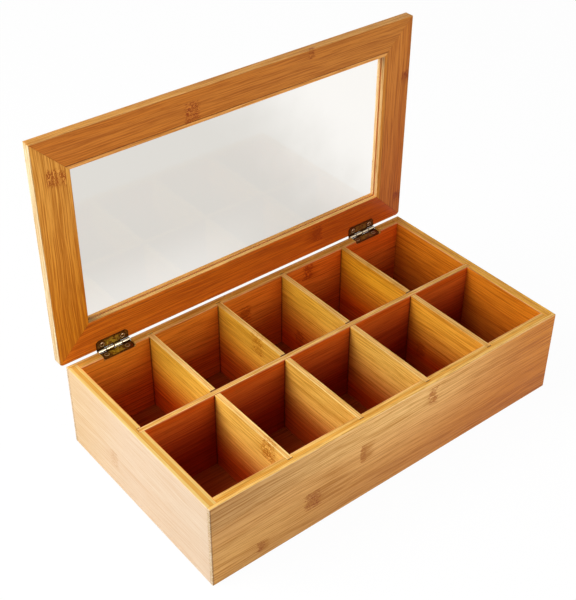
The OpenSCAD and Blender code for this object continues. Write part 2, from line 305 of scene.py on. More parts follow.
@dataclass(frozen=True)
class CulmMarks:
    """How the stem's nodes show: dark rings, pale fibre ends between them, and a stain that trails off."""

    # the ragged outline of a node
    ragged_waves: Span = (0.35, 0.3)
    ragged_length: float = 9.0
    patch_waves: Span = (0.11, 0.3)
    patch_reach: float = 0.9
    edge: float = 0.9
    ply_share: float = 0.6
    inside_span: Span = (0.6, 1.1)
    inside_stain: float = 0.3
    # its tail, in half lengths of the node
    tail_rise: Span = (-1.0, -0.4)
    tail_start: float = 0.2
    least_tail: float = 1.5
    # the rings and pale fibre ends inside it, and the streaks of its stain
    dash_waves: Point = (0.26, 0.6, 0.5)
    dash_warp: float = 1.0
    ring_rise: Span = (0.40, 0.50)
    ring_fall: Span = (0.52, 0.60)
    ring_dark: float = 0.9
    least_dark: float = 0.12
    pale_span: Span = (0.54, 0.62)
    streak_waves: Point = (0.012, 0.45, 0.5)
    streak_span: Span = (0.44, 0.6)
    streak_dark: float = 0.55
    least_streak: float = 0.16

    def draw(self, bench: Bench, culms: Sequence[Culm], seed: float, ply: float, spot: Sequence[Signal],
             flow: Sequence[Signal], faces: Span) -> tuple[Term, Term, Term]:
        """Draws the stem's nodes.

        Args:
            bench: the material's bench.
            culms: the nodes of the stem.
            seed: which piece of stem it is.
            ply: how thick a ply is.
            spot: places along, across and through the board.
            flow: the same places along and across, led by the drift of the fibres.
            faces: where the board's two faces lie.

        Returns:
            How strongly a point lies in a node's dark rings, in the pale fibre ends inside them, and in the
            darker fibres beside a node.
        """
        if not culms:
            return 0.0, 0.0, 0.0
        along, across, through = spot
        shown: Term = 0.0
        trail: Term = 0.0
        ragged = bench.noise(bench.waves((across, through), self.ragged_waves, seed), detail=2.0) - MIDDLE
        patchy = bench.noise(bench.waves((along, across), self.patch_waves, seed), detail=1.0) - MIDDLE
        for culm in culms:
            offset = (along - culm.along + ragged * self.ragged_length) / culm.half_length
            width = abs(across - culm.across).fall(culm.half_width * self.edge, culm.half_width)
            if culm.side is not None:
                width = width * abs(through - faces[culm.side.value[1]]).fall(ply * self.ply_share, ply)
            inside = (abs(offset) + patchy * self.patch_reach).fall(*self.inside_span) * width
            shown = inside * culm.strength + shown
            away = offset * math.copysign(1.0, culm.tail)
            reach = max(abs(culm.tail) / culm.half_length, self.least_tail)
            tail = away.rise(*self.tail_rise) * away.fall(self.tail_start, reach) * width
            trail = (tail + inside * self.inside_stain) * culm.stain + trail
        dashes = bench.noise(bench.waves(spot, self.dash_waves), detail=1.0, distortion=self.dash_warp)
        rings = dashes.rise(*self.ring_rise) - dashes.rise(*self.ring_fall)
        streaks = bench.noise(bench.waves((*flow, through), self.streak_waves), detail=1.0)
        dark = (shown * (rings * self.ring_dark + self.least_dark)).bounded()
        light = (shown * dashes.rise(*self.pale_span)).least(1.0)
        return dark, light, trail * (self.least_streak + streaks.rise(*self.streak_span) * self.streak_dark)


@dataclass(frozen=True)
class Tint:
    """The tint of one side of a board from the low to the high end of its fibres, and at its foot, where a
    painted tint stands for the light and shade low on the board, darkest deep inside the box.
    """

    near: Colour
    far: Optional[Colour] = None
    middle: Optional[Colour] = None
    painted_foot: Optional[Colour] = None
    painted_far_foot: Optional[Colour] = None


@dataclass(frozen=True)
class Fibres:
    """One layer of fibres: its waves per millimetre, the noise that darkens it, and by how much."""

    waves: Point
    span: Span
    weight: float
    even: float = MIDDLE
    detail: float = 1.0
    roughness: float = 0.5

    def read(self, bench: Bench, place: Sequence[Signal]) -> Signal:
        """How far a point lies in the layer's dark fibres, by its places along, across and through."""
        noise = bench.noise(bench.waves(place, self.waves), detail=self.detail, roughness=self.roughness)
        return noise.rise(*self.span)


@dataclass(frozen=True)
class Bamboo:
    """Laminated bamboo under satin lacquer."""

    core: Colour
    seed: float
    sides: dict[Side, Tint] = field(default_factory=dict)
    heart: Optional[Colour] = None
    gaps: tuple[float, ...] = ()
    corners: tuple[float, ...] = ()
    cornered: tuple[Side, ...] = (Side.FACE_LOW,)
    culms: tuple[Culm, ...] = ()
    # the strips, the plies and the glue lines between them
    strip_width: float = 18.5
    strip_edge: float = 0.5
    strip_contrast: float = 0.24
    ply: float = 3.0
    glue_width: float = 0.3
    seam_depth: float = 0.15
    lamina_depth: float = 0.5
    # the fibres, from one stem to the next and from broad bands to single hairs
    stem_length: float = 900.0
    drift_waves: Span = (0.011, 0.03)
    drift_width: float = 6.0
    wander_waves: Span = (0.02, 0.1)
    wander_width: float = 0.02
    bands: Fibres = Fibres((0.005, 0.17, 0.2), (0.3, 0.7), 0.12)
    lines: Fibres = Fibres((0.018, 0.9, 0.9), (0.35, 0.65), 0.7, detail=2.0, roughness=0.6)
    threads: Fibres = Fibres((0.045, 2.2, 2.2), (0.3, 0.7), 0.55)
    flecks: Fibres = Fibres((0.12, 2.0, 2.0), (0.6, 0.7), 0.25, even=0.0)
    hairs: Fibres = Fibres((0.009, 0.75, 0.75), (0.62, 0.70), 0.3, even=0.0, detail=0.0)
    fibre_contrast: float = 1.0
    depth: float = 0.36
    ring_depth: float = 0.4
    pale_lift: float = 0.6
    marks: CulmMarks = CulmMarks()
    # the tints: darks, warm strips, painted highlights on the arrises, how far a side's tint reaches into the
    # board, and the span of the painted light and shade at a side's foot
    shade: Colour = (0.60, 0.45, 0.20)
    culm_shade: Colour = (0.68, 0.40, 0.17)
    amber: Colour = (0.62, 0.25, 0.05)
    warmth_reach: float = 0.16
    arris_highlight_tint: Colour = (1.0, 0.74, 0.42)
    arris_highlight: float = 0.35
    arris_span: Span = (0.4, 0.95)
    blend: float = 0.2
    side_reach: float = 0.9
    painted_foot_span: Span = (14.0, 78.0)
    # the dark lines of the joints, and the corner lines, which are dark joints with painted corner shade
    deep: Colour = (0.05, 0.016, 0.004)
    gap_span: Span = (0.3, 0.7)
    gap_dark: float = 0.85
    corner_span: Span = (0.25, 0.7)
    corner_faces: Span = (0.5, 1.0)
    corner_tops: Span = (0.4, 1.2)
    corner_shade: float = 0.45
    # the relief and the lacquer
    fibre_relief: float = 0.5
    seam_relief: float = 0.8
    culm_relief: float = 0.7
    relief_strength: float = 0.25
    relief_height: float = 0.12
    roughness: float = 0.42
    line_roughness: float = 0.1
    culm_roughness: float = 0.08
    specular: float = 0.18

    def material(self, name: str, grain: Grain, box: tuple[Vector, Vector]) -> bpy.types.Material:
        """Makes the board's material.

        Args:
            name: the material's name.
            grain: how the board's fibres run.
            box: the board's lowest and highest corner at rest, in metres.

        Returns:
            The material.
        """
        made = bpy.data.materials.new(name)
        bench = Bench(made)
        place = dict(zip("XYZ", bench.rest_place()))
        spot = along, across, through = tuple(place[axis] for axis in grain.value)
        spans = [tuple(corner["XYZ".index(axis)] / MM for corner in box) for axis in grain.value]
        middle = sum(spans[2]) / 2

        strip = (across - self.strip_edge) / self.strip_width
        plies = ((through - middle) / self.ply + MIDDLE).floor()
        chance = bench.raw("ShaderNodeTexWhiteNoise", {"noise_dimensions": "3D"}, {
            "Vector": bench.vector(strip.floor(), plies, self.seed)})
        lots = bench.raw("ShaderNodeSeparateColor", inputs={0: chance.outputs["Color"]})
        tone, shift, warmth = (Signal(bench, output) for output in lots.outputs)

        drift = bench.noise(bench.waves((along, across), self.drift_waves, self.seed), detail=1.0)
        run = along + shift * self.stem_length
        lane = across + (drift - MIDDLE) * self.drift_width
        layers = (self.lines, self.threads, self.bands, self.flecks, self.hairs)
        shown = [layer.read(bench, (run, lane, through)) for layer in layers]
        grit = sum((level - layer.even) * layer.weight for layer, level in zip(layers, shown))
        lines, threads = shown[:2]

        wander = bench.noise(bench.waves((run, through), self.wander_waves, self.seed), detail=0.0) - MIDDLE
        seam = abs((strip + wander * self.wander_width + MIDDLE).fraction() - MIDDLE) * self.strip_width
        seam = seam.fall(0.0, self.glue_width)
        lamina = abs(abs(through - middle) - self.ply / 2).fall(0.0, self.glue_width)

        dark, light, trail = self.marks.draw(bench, self.culms, self.seed, self.ply, spot, (run, lane),
                                             spans[2])
        depth = (tone - MIDDLE) * self.strip_contrast + grit * self.fibre_contrast + self.depth
        depth = depth + dark * self.ring_depth - light * self.pale_lift
        depth = (depth + seam * self.seam_depth + lamina * self.lamina_depth + trail).bounded()

        tint = bench.mix(warmth * self.warmth_reach, self.tinted(bench, spot, spans), self.amber)
        # painted highlight along the long arrises, paler where the edges catch the light
        tint = bench.mix(self.near_arris(spot[1:], spans[1:]) * self.arris_highlight, tint, self.arris_highlight_tint)
        colour = bench.mix(1.0, tint, bench.mix(depth, WHITE, self.shade), blend="MULTIPLY")
        colour = bench.mix(dark, colour, bench.mix(1.0, colour, self.culm_shade, blend="MULTIPLY"))
        colour = self.scored(bench, colour, spot, spans)

        relief = (lines + threads) * self.fibre_relief - seam * self.seam_relief - lamina
        relief = relief - dark * self.culm_relief
        bump = bench.node("ShaderNodeBump", inputs={
            "Strength": self.relief_strength, "Distance": self.relief_height * MM, "Height": relief})
        rough = self.roughness + (lines - MIDDLE + seam) * self.line_roughness + dark * self.culm_roughness
        bench.finish(bench.node("ShaderNodeBsdfPrincipled", inputs={
            "Base Color": colour, "Roughness": rough, "Normal": bump, "Specular IOR Level": self.specular}))
        return made

    def near_arris(self, place: Sequence[Signal], spans: Sequence[Span]) -> Signal:
        """Tells how near a point is to one of the board's long arrises, which carry a painted highlight.

        Args:
            place: the point's places along the two directions across the grain.
            spans: the board's ends in these directions.

        Returns:
            A signal that is 1 on an arris and 0 away from it.
        """
        near: Any = 1.0
        for spot, (low, high) in zip(place, spans):
            near = (spot - low).least(high - spot).fall(*self.arris_span) * near
        return near

    def scored(self, bench: Bench, colour: Signal, spot: Sequence[Signal], spans: Sequence[Span]) -> Signal:
        """Draws the dark lines of the joints: gaps right round the board, and lines along corners on some of
        its faces, which are dark joints with painted corner shade.

        Args:
            bench: the material's bench.
            colour: the colour under them.
            spot: places along, across and through the board.
            spans: the board's extent in the same order.

        Returns:
            The colour with its lines.
        """
        along, across, through = spot
        for gap in self.gaps:
            colour = bench.mix(abs(along - gap).fall(*self.gap_span) * self.gap_dark, colour, self.deep)
        # the corner lines: dark joints with painted shade of the corner
        if self.corners:
            levels = [spans[2][side.value[1]] for side in self.cornered]
            faces = sum(abs(through - level).fall(*self.corner_faces) for level in levels)
            below = faces * (spans[1][1] - across).rise(*self.corner_tops) * self.corner_shade
            for corner in self.corners:
                colour = bench.mix(abs(along - corner).fall(*self.corner_span) * below, colour, self.deep)
        return colour

    def tinted(self, bench: Bench, spot: Sequence[Signal], spans: Sequence[Span]) -> Signal:
        """Mixes the tints of the board's sides over the tint of its core.

        Args:
            bench: the material's bench.
            spot: places along, across and through the board.
            spans: the board's extent in the same order.

        Returns:
            The tint at a point.
        """
        inner = abs(spot[2] - sum(spans[2]) / 2).fall(self.ply / 2 - self.blend, self.ply / 2 + self.blend)
        colour = bench.mix(inner, self.core, self.heart or self.core)
        for side, tint in self.sides.items():
            axis, end = side.value
            low, high = spans[0]
            here: Any = tint.near
            if tint.middle:
                here = bench.mix(spot[0].rise(low, (low + high) / 2), here, tint.middle)
                low = (low + high) / 2
            if tint.far:
                here = bench.mix(spot[0].rise(low, high), here, tint.far)
            # painted shade deep inside the box, and painted light and shade low on the outer front, mixed in
            # towards a side's foot
            if tint.painted_foot:
                painted_foot: Any = tint.painted_foot
                if tint.painted_far_foot:
                    painted_foot = bench.mix(spot[0].rise(*spans[0]), painted_foot, tint.painted_far_foot)
                here = bench.mix(spot[1].fall(*self.painted_foot_span), here, painted_foot)
            depth = abs(spot[axis] - spans[axis][end])
            colour = bench.mix(depth.fall(self.blend, self.side_reach), colour, here)
        return colour


@dataclass(frozen=True)
class AntiqueBrass:
    """Plated steel in antique brass: darker along its rim and round its screws, with painted shadow beside
    the barrel, olive in the open, and a painted highlight where the barrel turns.
    """

    axis: Vector
    half: float
    reach: float
    knuckle: float
    screws: Span
    brown: Colour
    olive: Colour
    seed: float
    dark: Colour = (0.075, 0.030, 0.008)
    bright: Colour = (0.68, 0.60, 0.43)
    # blotches of olive in the open middle, and dark grit
    blotch_waves: float = 0.32
    blotch_span: Span = (0.40, 0.56)
    open_span: Span = (3.0, 10.0)
    least_olive: float = 0.25
    grit_waves: float = 1.6
    grit_span: Span = (0.5, 0.7)
    grit_dark: float = 0.6
    noise_roughness: float = 0.6
    # darkening along the rim and round the screws, painted shadow on the plate beside the barrel, and a paler
    # ring round each screw
    rim_span: Span = (-2.0, -0.5)
    barrel_shadow: tuple[Span, Span] = ((1.2, 1.6), (2.5, 3.3))
    dirt_ring: tuple[Span, Span] = ((2.2, 2.5), (2.8, 3.5))
    darkening: float = 0.8
    pale_ring: tuple[Span, Span] = ((1.4, 1.7), (2.1, 2.4))
    pale_ring_share: float = 0.55
    # the painted highlight on the upper side of the barrel, its dark joints, and the screw's cross
    barrel_span: Span = (1.3, 1.7)
    lit_lean: float = 0.7
    lit_span: Span = (1.05, 1.45)
    lit: float = 1.15
    lit_grit_span: Span = (0.45, 0.6)
    lit_grit: float = 0.5
    joint_span: Span = (0.40, 0.46)
    joint_dark: float = 0.9
    cross_span: Span = (0.9, 1.3)
    cross_dark: float = 0.6
    relief_strength: float = 0.3
    relief_height: float = 0.05
    roughness: float = 0.36
    grit_roughness: float = 0.2
    barrel_polish: float = 0.08

    def material(self, name: str, is_screw: bool = False) -> bpy.types.Material:
        """Makes the finish's material.

        Args:
            name: the material's name.
            is_screw: whether it is for the screws, which are brown in their cross.

        Returns:
            The material.
        """
        made = bpy.data.materials.new(name)
        bench = Bench(made)
        x, y, z = bench.rest_place()
        spot = bench.vector(x, y, z + self.seed)
        blotch, grit = (bench.noise(spot, scale=waves, detail=2.0, roughness=self.noise_roughness)
                        for waves in (self.blotch_waves, self.grit_waves))
        along = x - self.axis.x
        out = (z - self.axis.z).most(self.axis.y - y)
        centre = bench.vector(abs(along) - self.screws[0], out - self.screws[1], 0.0)
        span = bench.node("ShaderNodeVectorMath", {"operation": "LENGTH"}, {0: centre}, output="Value")

        middle = abs(along).fall(*self.open_span) * (1 - self.least_olive) + self.least_olive
        colour = bench.mix(blotch.rise(*self.blotch_span) * middle, self.brown, self.olive)
        colour = bench.mix(grit.rise(*self.grit_span) * self.grit_dark, colour, self.dark)
        rim = (abs(along) - self.half).most(out - self.reach).rise(*self.rim_span)
        # painted shadow on the plate beside the barrel, with darkening along the rim and round the screws
        darkening = rim.most(out.within(*self.barrel_shadow)).most(span.within(*self.dirt_ring))
        colour = bench.mix(darkening * self.darkening, colour, self.dark)
        # a paler ring round each screw
        colour = bench.mix(span.within(*self.pale_ring) * self.pale_ring_share, colour, self.bright)
        barrel = out.fall(*self.barrel_span)
        joint = abs(((along + self.half) / self.knuckle).fraction() - MIDDLE).rise(*self.joint_span)
        # painted highlight on the barrel's upper side
        facing = ((z - self.axis.z - (y - self.axis.y)) * self.lit_lean).rise(*self.lit_span)
        lit = barrel * facing * (self.lit - grit.rise(*self.lit_grit_span) * self.lit_grit)
        colour = bench.mix(lit, colour, self.bright)
        colour = bench.mix(barrel * joint * self.joint_dark, colour, self.dark)
        if is_screw:
            colour = bench.mix(span.fall(*self.cross_span) * self.cross_dark, colour, self.brown)
        bump = bench.node("ShaderNodeBump", inputs={
            "Strength": self.relief_strength, "Distance": self.relief_height * MM, "Height": grit})
        rough = self.roughness + (grit - MIDDLE) * self.grit_roughness - barrel * self.barrel_polish
        bench.finish(bench.node("ShaderNodeBsdfPrincipled", inputs={
            "Base Color": colour, "Metallic": 1.0, "Roughness": rough, "Normal": bump}))
        return made


@dataclass(frozen=True)
class ClearPane:
    """Clear plastic sheet with a faint grey film that thins towards the right, and fine dust; where the
    rebate hides it, it is opaque and wood-coloured, painted light that lightens the shaded slot.
    """

    film: Colour = (0.855, 0.842, 0.815)
    thin: Colour = (0.985, 0.974, 0.955)
    dust: Colour = (0.42, 0.40, 0.36)
    # the wood colour of the pane's edge hidden in the rebate: painted light in the shaded slot
    rim: Colour = (0.95, 0.52, 0.22)
    haze_waves: float = 0.02
    haze_reach: float = 60.0
    tilt: float = 0.8
    film_span: Span = (155.0, 285.0)
    low_span: Span = (110.0, 165.0)
    left_span: Span = (-60.0, 60.0)
    low_left: float = 0.5
    dust_waves: float = 0.016
    dust_span: Span = (0.007, 0.013)
    dust_share: float = 0.5
    roughness: float = 0.03
    haze_roughness: float = 0.05
    refraction: float = 1.45
    opening: tuple[float, float, float] = (153.5, 109.0, 249.0)
    opening_edge: Span = (-0.1, 0.1)

    def material(self, name: str) -> bpy.types.Material:
        """Makes the pane's material.

        Args:
            name: the material's name.

        Returns:
            The material.
        """
        made = bpy.data.materials.new(name)
        bench = Bench(made)
        x, y, z = bench.rest_place()
        spot = bench.vector(x, y, z)
        haze = bench.noise(spot, scale=self.haze_waves, detail=3.0)
        lift = (x + z * self.tilt + (haze - MIDDLE) * self.haze_reach).rise(*self.film_span)
        lift = lift + z.fall(*self.low_span) * x.fall(*self.left_span) * self.low_left
        specks = bench.node("ShaderNodeTexVoronoi", inputs={
            "Vector": spot, "Scale": self.dust_waves}, output="Distance").fall(*self.dust_span)
        filmed, dusty, thin = (bench.node("ShaderNodeBsdfTransparent", inputs={"Color": colour})
                               for colour in (self.film, self.dust, self.thin))
        filmed = bench.node("ShaderNodeMixShader", inputs={0: specks * self.dust_share, 1: filmed, 2: dusty})
        clear = bench.node("ShaderNodeMixShader", inputs={0: lift, 1: filmed, 2: thin})
        gloss = bench.node("ShaderNodeBsdfGlossy", inputs={
            "Color": WHITE, "Roughness": self.roughness + haze * self.haze_roughness})
        outside = 1 - bench.node("ShaderNodeNewGeometry", output="Backfacing")
        mirror = bench.node("ShaderNodeFresnel", inputs={"IOR": self.refraction}) * outside
        shown = bench.node("ShaderNodeMixShader", inputs={0: mirror, 1: clear, 2: gloss})
        half, low, high = self.opening
        # where the rebate hides the pane it is opaque and wood-coloured: painted light that lightens the
        # shaded slot
        hidden = (abs(x) - half).most(low - z).most(z - high).rise(*self.opening_edge)
        rim = bench.node("ShaderNodeBsdfDiffuse", inputs={"Color": self.rim})
        bench.finish(bench.node("ShaderNodeMixShader", inputs={0: hidden, 1: shown, 2: rim}))
        return made


class Joinery:
    """Turns nodes and flat shapes into finished pieces."""

    weld: float = 1e-6
    sharp: float = math.radians(35.0)
    flat: float = math.radians(0.5)

    @classmethod
    def soften(cls, solid: bmesh.types.BMesh, arris: float, steps: int = 2) -> None:
        """Eases every convex arris of a solid.

        Args:
            solid: the solid, in metres.
            arris: how far each arris is eased, in millimetres.
            steps: how many faces each eased arris gets.
        """
        edges = [edge for edge in solid.edges
                 if edge.is_manifold and edge.is_convex and edge.calc_face_angle() > cls.sharp]
        bmesh.ops.bevel(solid, geom=edges, offset=arris * MM, offset_type="OFFSET", segments=steps,
                        profile=0.5, affect="EDGES", clamp_overlap=False)

    @classmethod
    def solid_of(cls, node: str) -> bmesh.types.BMesh:
        """Copies a node's solid with whole flat faces.

        Args:
            node: the node's name.

        Returns:
            The copy.
        """
        solid = bmesh.new()
        solid.from_mesh(frame["nodes"][node].data)
        bmesh.ops.remove_doubles(solid, verts=solid.verts, dist=cls.weld)
        bmesh.ops.dissolve_limit(solid, angle_limit=cls.flat, verts=solid.verts, edges=solid.edges)
        return solid

    @classmethod
    def piece(cls, name: str, solid: bmesh.types.BMesh, material: bpy.types.Material,
              body: str, slot: str, *nodes: str) -> bpy.types.Object:
        """Makes the object of a finished solid, puts it on its body and hides the nodes that it stands for.

        Args:
            name: the piece's name.
            solid: its solid, which is used up.
            material: its finish.
            body: the body that it rides on.
            slot: the record's material slot; not used.
            nodes: the nodes that it stands for.

        Returns:
            The piece.
        """
        for face in solid.faces:
            face.smooth = True
        for edge in solid.edges:
            edge.smooth = not edge.is_manifold or edge.calc_face_angle() < cls.sharp
        mesh = bpy.data.meshes.new(name)
        solid.to_mesh(mesh)
        solid.free()
        mesh.materials.append(material)
        made = bpy.data.objects.new(name, mesh)
        bpy.context.scene.collection.objects.link(made)
        even = made.modifiers.new("even shading", "WEIGHTED_NORMAL")
        even.keep_sharp = True
        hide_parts(*nodes)
        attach(made, body)
        return made

    @classmethod
    def board(cls, node: str, grain: Grain, finish: Bamboo, arris: float,
              body: str, slot: str) -> bpy.types.Object:
        """Makes a board from its node, with eased arrises and its own bamboo.

        Args:
            node: the node's name.
            grain: how its fibres run.
            finish: its bamboo.
            arris: how far its arrises are eased, in millimetres.
            body: the body that it rides on.
            slot: the record's material slot.

        Returns:
            The board.
        """
        solid = cls.solid_of(node)
        cls.soften(solid, arris)
        material = finish.material(node + "_bamboo", grain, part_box(node))
        return cls.piece(node + "_board", solid, material, body, slot, node)


def beside(axis: int, margin: float, *nodes: str) -> tuple[float, ...]:
    """Where dark corner lines, dark joints with painted corner shade, run beside some nodes.

    Args:
        axis: the axis of the frame that they are placed along.
        margin: how far outside a node's two faces they lie, in millimetres.
        nodes: the nodes' names.

    Returns:
        Two places for each node, in millimetres.
    """
    places: list[float] = []
    for low, high in map(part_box, nodes):
        places += [low[axis] / MM - margin, high[axis] / MM + margin]
    return tuple(places)


@dataclass
class BoxCarcass:
    """The four walls and the base of the box."""

    arris: float = 0.3
    base_arris: float = 0.2
    corner_margin: float = 0.3
    lip_line: float = -179.2
    honey: Colour = (0.97, 0.60, 0.17)
    heart: Colour = (0.86, 0.43, 0.07)
    pale_honey: Colour = (0.84, 0.61, 0.20)
    pale_heart: Colour = (0.74, 0.40, 0.075)
    pale_shade: Colour = (0.80, 0.62, 0.44)
    amber: Colour = (0.96, 0.50, 0.065)
    # the base's dark maroon top is painted shade deep in the compartments
    painted_shade_base_core: Colour = (0.42, 0.074, 0.0095)
    # the cream tints of the sides that face the key lamp: painted sheen of the lamp on the lacquer, over the
    # board's own paler tone
    sheen_cream: Tint = Tint((0.70, 0.565, 0.42), (0.68, 0.50, 0.285), middle=(0.70, 0.555, 0.40))
    sheen_cream_end: Tint = Tint((0.70, 0.56, 0.40))
    # the outer front's foot tint is painted light and shade low on the board
    tan: Tint = Tint((0.485, 0.265, 0.089), (0.58, 0.20, 0.008), middle=(0.83, 0.51, 0.185),
                     painted_foot=(0.62, 0.33, 0.09), painted_far_foot=(0.53, 0.165, 0.007))
    plain_tan: Tint = Tint((0.66, 0.36, 0.10))
    # the feet of the inner faces are painted shade deep inside the box
    golden: Tint = Tint((0.86, 0.27, 0.012), painted_foot=(0.58, 0.11, 0.004))
    shaded: Tint = Tint((0.86, 0.265, 0.018), (0.72, 0.095, 0.003), painted_foot=(0.97, 0.25, 0.034))
    front_culms: tuple[Culm, ...] = (
        Culm(-86.0, 28.5, 8.0, 9.3, tail=50.0, strength=0.9, stain=1.9, side=Side.FACE_LOW),
        Culm(-36.0, 46.5, 3.2, 9.3, tail=14.0, strength=0.6, stain=2.6, side=Side.FACE_LOW),
        Culm(-135.0, 12.0, 3.6, 5.5, tail=10.0, strength=0.9, stain=1.8, side=Side.FACE_LOW),
        Culm(37.0, 66.0, 4.5, 9.3, tail=-14.0, strength=0.9, stain=0.8, side=Side.FACE_LOW))
    back_culms: tuple[Culm, ...] = (
        Culm(62.0, 70.0, 6.0, 8.0, tail=16.0, side=Side.FACE_LOW),
        Culm(-8.0, 56.0, 6.0, 9.0, tail=-14.0, strength=0.6, side=Side.FACE_LOW),
        Culm(-70.0, 28.0, 6.0, 9.0, tail=24.0, side=Side.FACE_HIGH),
        Culm(96.0, 10.0, 6.0, 9.0, tail=-20.0, side=Side.FACE_HIGH))
    left_culms: tuple[Culm, ...] = (
        Culm(33.0, 28.0, 6.0, 9.0, tail=16.0, strength=0.25, stain=0.3, side=Side.FACE_LOW),)
    right_culms: tuple[Culm, ...] = (
        Culm(41.0, 46.0, 6.0, 9.0, tail=18.0, side=Side.FACE_HIGH),
        Culm(-58.0, 12.0, 6.0, 9.0, tail=-14.0, side=Side.FACE_HIGH))
    base_culms: tuple[Culm, ...] = (
        Culm(-60.0, 30.0, tail=20.0), Culm(82.0, -44.0, tail=-20.0))

    def finishes(self) -> dict[str, tuple[Grain, Bamboo]]:
        """Sets out the finish of each board.

        Returns:
            The direction of the grain and the bamboo, by node.
        """
        low, high, end = Side.FACE_LOW, Side.FACE_HIGH, Side.END_LOW
        corners = beside(0, self.corner_margin, *(f"cross_divider_{place}" for place in (1, 2, 3, 4)))
        front = Bamboo(self.honey, seed=3.0, heart=self.heart, culms=self.front_culms,
                       sides={low: self.tan, high: self.golden, end: self.sheen_cream_end},
                       corners=(self.lip_line,), seam_depth=0.08)
        back = Bamboo(self.honey, seed=11.0, heart=self.heart, culms=self.back_culms,
                      sides={low: self.shaded, high: self.plain_tan, end: self.sheen_cream_end}, corners=corners)
        # the left wall's cream face and its mild, weak fibres are painted sheen of the key lamp over its own
        # paler bamboo
        left = Bamboo(self.pale_honey, seed=17.0, heart=self.pale_heart, culms=self.left_culms,
                      sides={low: self.sheen_cream, high: self.golden}, shade=self.pale_shade,
                      fibre_contrast=0.5, warmth_reach=0.04, seam_depth=0.05, arris_highlight=0.1)
        right = Bamboo(self.amber, seed=23.0, heart=self.heart, culms=self.right_culms,
                       sides={low: self.golden, high: self.plain_tan})
        base = Bamboo(self.painted_shade_base_core, seed=29.0, culms=self.base_culms, sides={low: self.plain_tan},
                      strip_width=20.0, ply=2.5)
        return {"front_wall": (Grain.ALONG_X, front), "back_wall": (Grain.ALONG_X, back),
                "left_wall": (Grain.ALONG_Y, left), "right_wall": (Grain.ALONG_Y, right),
                "base_panel": (Grain.FLAT, base)}

    def build(self) -> list[bpy.types.Object]:
        """Makes the walls and the base.

        Returns:
            The pieces.
        """
        made = []
        for node, (grain, finish) in self.finishes().items():
            arris, slot = self.arris, "wall_bamboo"
            if node == "base_panel":
                arris, slot = self.base_arris, "base_bamboo"
            made.append(Joinery.board(node, grain, finish, arris, "box", slot))
        return made


@dataclass
class DividerGrid:
    """The long divider and the four cross dividers that it is halved over."""

    arris: float = 0.3
    corner_margin: float = 0.3
    ply: float = 2.5
    seed: float = 40.0
    seed_step: float = 7.0
    strip_edge: float = 60.5
    strip_step: float = -1.5
    pale_seam: float = -0.3
    # strength of the painted highlight on the dividers' arrises
    arris_highlight: float = 0.15
    # spans of the painted shade towards the foot of the dividers' faces
    long_painted_foot: Span = (42.0, 84.0)
    cross_painted_foot: Span = (18.0, 74.0)
    edge: Colour = (1.0, 0.72, 0.30)
    heart: Colour = (1.0, 0.60, 0.19)
    # the dividers' faces darken towards the foot: painted shade deep in the compartments
    face: Tint = Tint((0.98, 0.60, 0.13), (1.0, 0.58, 0.05), painted_foot=(0.50, 0.036, 0.001),
                      painted_far_foot=(0.84, 0.085, 0.001))
    last_face: Tint = Tint((0.98, 0.46, 0.05), (0.98, 0.48, 0.022), painted_foot=(0.44, 0.024, 0.001),
                           painted_far_foot=(0.84, 0.085, 0.001))
    shaded_face: Tint = Tint((0.62, 0.10, 0.004), painted_foot=(0.40, 0.028, 0.004))
    open_ends: tuple[float, ...] = (-92.6, 3.1, 92.6)
    wall_faces: Span = (-88.7, 88.7)
    culms: dict[str, tuple[Culm, ...]] = field(default_factory=lambda: {
        "cross_divider_1": (Culm(-70.0, 70.0, 9.0, 9.5, tail=26.0, strength=0.9, stain=0.4),),
        "cross_divider_2": (Culm(34.0, 70.0, 8.0, 9.5, tail=18.0, strength=0.6, stain=0.3),),
        "cross_divider_3": (Culm(64.0, 24.0, 6.0, 9.0, tail=-12.0, strength=0.6, stain=0.5),),
        "cross_divider_4": (Culm(-20.0, 30.0, 6.0, 9.0, tail=12.0, strength=0.5, stain=0.5),),
        "long_divider": (Culm(-20.0, 52.0, 5.0, 9.0, tail=14.0, strength=0.4, stain=0.4),
                         Culm(120.0, 30.0, 5.0, 9.0, tail=-14.0, strength=0.4, stain=0.4))})

    def finish(self, node: str, place: int) -> Bamboo:
        """The bamboo of one divider.

        Args:
            node: the divider's node.
            place: its place in the order of making.

        Returns:
            The finish.
        """
        if node == "long_divider":
            tint, gaps, painted_foot = self.shaded_face, (), self.long_painted_foot
            corners = beside(0, self.corner_margin, *(name for name in self.culms if name != node))
        else:
            tint, gaps, painted_foot = self.face, self.open_ends, self.cross_painted_foot
            corners = (*self.wall_faces, *beside(1, self.corner_margin, "long_divider"))
            if place == len(self.culms) - 2:
                tint = self.last_face
        faces = (Side.FACE_LOW, Side.FACE_HIGH)
        return Bamboo(self.edge, self.seed + self.seed_step * place, dict.fromkeys(faces, tint), self.heart,
                      gaps, corners, faces, self.culms[node], painted_foot_span=painted_foot, ply=self.ply,
                      strip_edge=self.strip_edge + self.strip_step * place, seam_depth=self.pale_seam,
                      arris_highlight=self.arris_highlight)

    def build(self) -> list[bpy.types.Object]:
        """Makes the dividers.

        Returns:
            The pieces.
        """
        made = []
        for place, node in enumerate(self.culms):
            grain = Grain.ALONG_X if node == "long_divider" else Grain.ALONG_Y
            finish = self.finish(node, place)
            made.append(Joinery.board(node, grain, finish, self.arris, "box", "divider_bamboo"))
        return made


